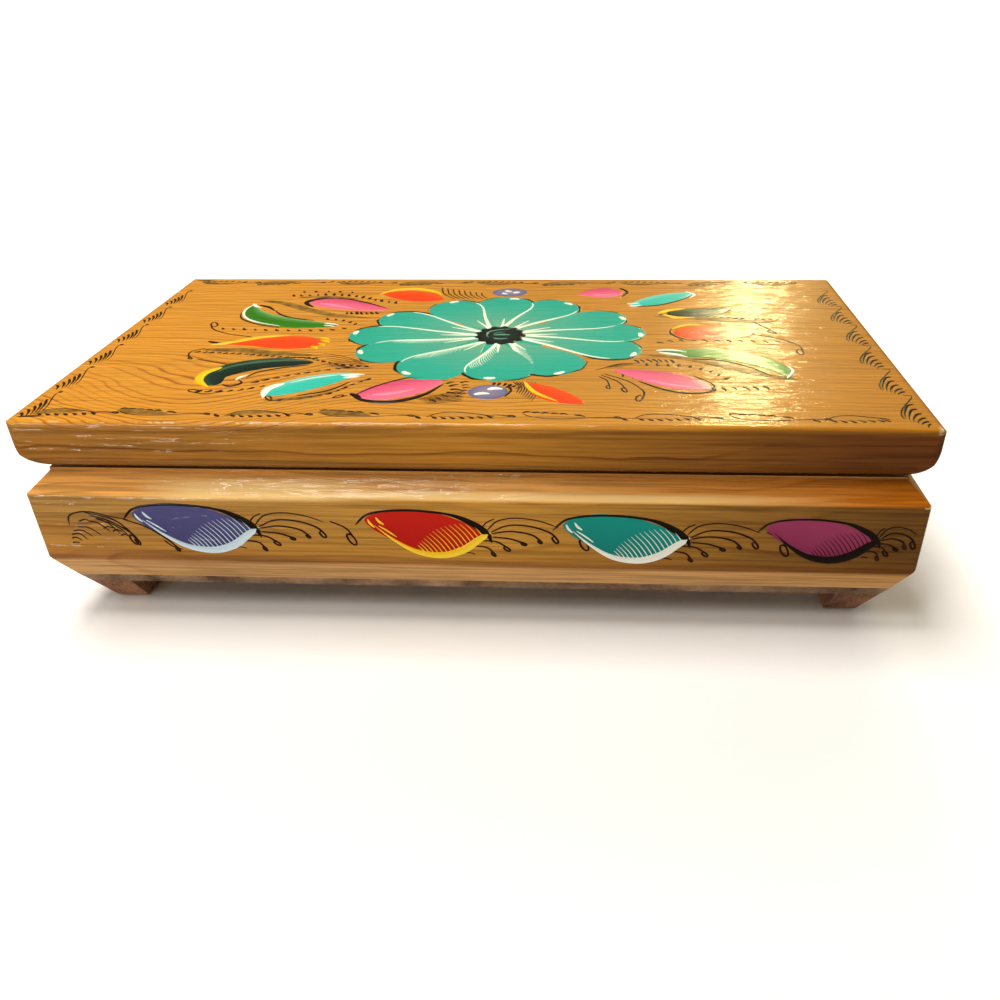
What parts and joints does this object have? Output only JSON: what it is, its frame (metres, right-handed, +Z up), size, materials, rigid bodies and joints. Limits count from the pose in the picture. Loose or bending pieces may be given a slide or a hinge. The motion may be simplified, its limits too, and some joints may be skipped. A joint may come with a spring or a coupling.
{
  "type": "wooden jewelry box",
  "caption": "Small hinged wooden jewelry box: thick painted lid on a mitred moulded frame, thin base and corner feet.",
  "frame": {"origin": "on the resting surface, under the middle of the box", "axes": "+X along the length to the right, +Y from the front to the hinged back, +Z up"},
  "size_m": [0.1932, 0.1016, 0.0508],
  "materials": {
    "lid_pine": "gloss",
    "long_wall_pine": "gloss",
    "end_wall_pine": "gloss",
    "base_pine": "matte",
    "foot_pine": "matte",
    "hinge_brass": "satin",
    "screw_brass": "satin",
    "brad_steel": "satin",
    "floor_felt": "matte"
  },
  "bodies": {
    "box": {"front_wall": "long_wall_pine", "back_wall": "long_wall_pine", "left_wall": "end_wall_pine", "right_wall": "end_wall_pine", "base_board": "base_pine", "foot_front_left": "foot_pine", "foot_front_right": "foot_pine", "foot_back_left": "foot_pine", "foot_back_right": "foot_pine", "hinge_left_body_leaf": "hinge_brass", "hinge_left_pin": "hinge_brass", "hinge_right_body_leaf": "hinge_brass", "hinge_right_pin": "hinge_brass", "hinge_screws_body": "screw_brass", "base_brads": "brad_steel", "foot_brads": "brad_steel", "floor_felt": "floor_felt"},
    "lid": {"lid_board": "lid_pine", "hinge_left_lid_leaf": "hinge_brass", "hinge_right_lid_leaf": "hinge_brass", "hinge_screws_lid": "screw_brass"}
  },
  "joints": [
    {"name": "lid_hinge", "type": "hinge", "parent": "box", "child": "lid", "pos_m": [0, 0.0471, 0.03795], "axis": [-1, 0, 0], "range_deg": [0, 107]}
  ]
}
